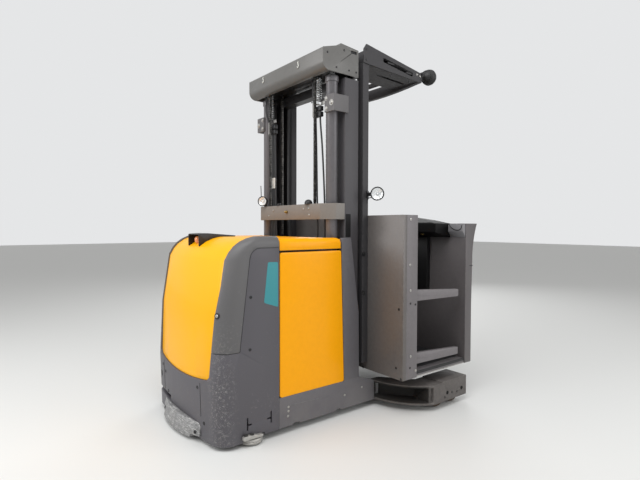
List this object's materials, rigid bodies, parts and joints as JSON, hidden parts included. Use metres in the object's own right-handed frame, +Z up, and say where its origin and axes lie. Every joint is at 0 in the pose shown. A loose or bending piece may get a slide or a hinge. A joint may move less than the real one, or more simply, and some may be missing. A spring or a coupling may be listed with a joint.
{
  "type": "order picker truck",
  "caption": "Battery-powered order picker truck: driver's cab that climbs a two-stage mast, battery chassis, steered drive wheel, load arms with wheels, swing-up side gates.",
  "frame": {"origin": "on the floor, midway along the truck's length and width", "axes": "+X towards the load end, +Y to the truck's left as the driver faces the load, +Z up"},
  "size_m": [1.884, 1.524, 2.3245],
  "materials": {
    "paint_grey": "satin",
    "paint_mast": "satin",
    "paint_yellow": "gloss",
    "hood_yellow": "gloss",
    "skin_grey": "satin",
    "plastic_black": "matte",
    "steel_worn": "worn",
    "cylinder_grey": "satin",
    "rod_chrome": "polished",
    "cast_black": "rough",
    "tread": "matte",
    "roller_grey": "matte",
    "amber": "clear",
    "pad_black": "matte",
    "battery_grey": "matte"
  },
  "bodies": {
    "chassis": {"chassis_frame": "paint_grey", "bulkheads": "paint_grey", "mast_gussets": "paint_grey", "guide_brackets": "cast_black", "drive_mount": "cast_black", "mast_crossbar": "paint_mast", "cylinder_clamps": "paint_mast", "top_rollers": "steel_worn", "drive_skin": "skin_grey", "hood_rim": "skin_grey", "hood_cover": "hood_yellow", "bumper_plate": "steel_worn", "beacon_housing": "plastic_black", "beacon_lens": "amber", "battery": "battery_grey", "drive_motor": "cast_black", "battery_doors": "paint_yellow", "arm_right": "paint_grey", "arm_left": "paint_grey", "mast_outer": "paint_mast", "lift_cylinders": "cylinder_grey", "mast_lamp": "plastic_black"},
    "battery_lid": {"battery_lid": "paint_yellow"},
    "drive_unit": {"drive_gear": "cast_black"},
    "drive_wheel": {"drive_wheel": "tread"},
    "guide_roller_right": {"guide_roller_right": "roller_grey"},
    "guide_roller_left": {"guide_roller_left": "roller_grey"},
    "inner_mast": {"mast_inner": "paint_mast", "head_beam": "paint_mast", "base_rollers": "steel_worn", "lift_rods": "rod_chrome", "mast_head": "paint_grey", "chain_pulleys": "cast_black", "lift_chains": "cast_black"},
    "cab": {"cab_floor": "paint_grey", "floor_mat": "plastic_black", "cab_rear_wall": "paint_grey", "cab_posts": "paint_grey", "cab_front_wall": "paint_grey", "cab_console": "plastic_black", "console_trays": "plastic_black", "cab_column": "plastic_black", "back_pad": "pad_black", "guard_posts": "paint_grey", "guard_roof": "paint_grey", "slide_plates": "paint_mast", "slide_rollers": "steel_worn", "slide_back": "paint_mast", "fork_carriage": "paint_mast", "cab_lamp": "plastic_black", "guard_lamp": "plastic_black"},
    "load_wheel_right_1": {"load_wheel_right_1": "tread"},
    "load_wheel_left_1": {"load_wheel_left_1": "tread"},
    "load_wheel_right_2": {"load_wheel_right_2": "tread"},
    "load_wheel_left_2": {"load_wheel_left_2": "tread"},
    "gate_right_upper": {"gate_right_upper": "paint_grey"},
    "gate_right_lower": {"gate_right_lower": "paint_grey"},
    "gate_left_upper": {"gate_left_upper": "paint_grey"},
    "gate_left_lower": {"gate_left_lower": "paint_grey"}
  },
  "joints": [
    {"name": "lid_hinge", "type": "hinge", "parent": "chassis", "child": "battery_lid", "pos_m": [-0.04, 0, 1.076], "axis": [0, 1, 0], "range_deg": [0, 35]},
    {"name": "steering", "type": "hinge", "parent": "chassis", "child": "drive_unit", "pos_m": [-0.69, 0, 0.39], "axis": [0, 0, 1], "range_deg": [-90, 90]},
    {"name": "drive_wheel_spin", "type": "hinge", "parent": "drive_unit", "child": "drive_wheel", "pos_m": [-0.69, 0, 0.155], "axis": [0, 1, 0], "continuous": true},
    {"name": "guide_right_spin", "type": "hinge", "parent": "chassis", "child": "guide_roller_right", "pos_m": [-0.658, -0.412, 0.023], "axis": [0, 0, 1], "continuous": true},
    {"name": "guide_left_spin", "type": "hinge", "parent": "chassis", "child": "guide_roller_left", "pos_m": [-0.658, 0.412, 0.023], "axis": [0, 0, 1], "continuous": true},
    {"name": "mast_lift", "type": "slide", "parent": "chassis", "child": "inner_mast", "axis": [0, 0, 1], "range_m": [0, 1.4]},
    {"name": "cab_lift", "type": "slide", "parent": "inner_mast", "child": "cab", "axis": [0, 0, 1], "range_m": [0, 1.4]},
    {"name": "load_wheel_right_1_spin", "type": "hinge", "parent": "chassis", "child": "load_wheel_right_1", "pos_m": [0.548, -0.68, 0.072], "axis": [0, 1, 0], "continuous": true},
    {"name": "load_wheel_left_1_spin", "type": "hinge", "parent": "chassis", "child": "load_wheel_left_1", "pos_m": [0.548, 0.68, 0.072], "axis": [0, 1, 0], "continuous": true},
    {"name": "load_wheel_right_2_spin", "type": "hinge", "parent": "chassis", "child": "load_wheel_right_2", "pos_m": [0.7, -0.68, 0.072], "axis": [0, 1, 0], "continuous": true},
    {"name": "load_wheel_left_2_spin", "type": "hinge", "parent": "chassis", "child": "load_wheel_left_2", "pos_m": [0.7, 0.68, 0.072], "axis": [0, 1, 0], "continuous": true},
    {"name": "gate_right_upper_swing", "type": "hinge", "parent": "cab", "child": "gate_right_upper", "pos_m": [0.27, -0.704, 0.747], "axis": [0, -1, 0], "range_deg": [0, 80]},
    {"name": "gate_right_lower_swing", "type": "hinge", "parent": "cab", "child": "gate_right_lower", "pos_m": [0.27, -0.704, 0.355], "axis": [0, -1, 0], "range_deg": [0, 80]},
    {"name": "gate_left_upper_swing", "type": "hinge", "parent": "cab", "child": "gate_left_upper", "pos_m": [0.27, 0.704, 0.747], "axis": [0, -1, 0], "range_deg": [0, 80]},
    {"name": "gate_left_lower_swing", "type": "hinge", "parent": "cab", "child": "gate_left_lower", "pos_m": [0.27, 0.704, 0.355], "axis": [0, -1, 0], "range_deg": [0, 80]}
  ],
  "couplings": [
    {"joint": "cab_lift", "follows": "mast_lift", "ratio": 1},
    {"joint": "gate_right_lower_swing", "follows": "gate_right_upper_swing", "ratio": 1},
    {"joint": "gate_left_lower_swing", "follows": "gate_left_upper_swing", "ratio": 1}
  ]
}
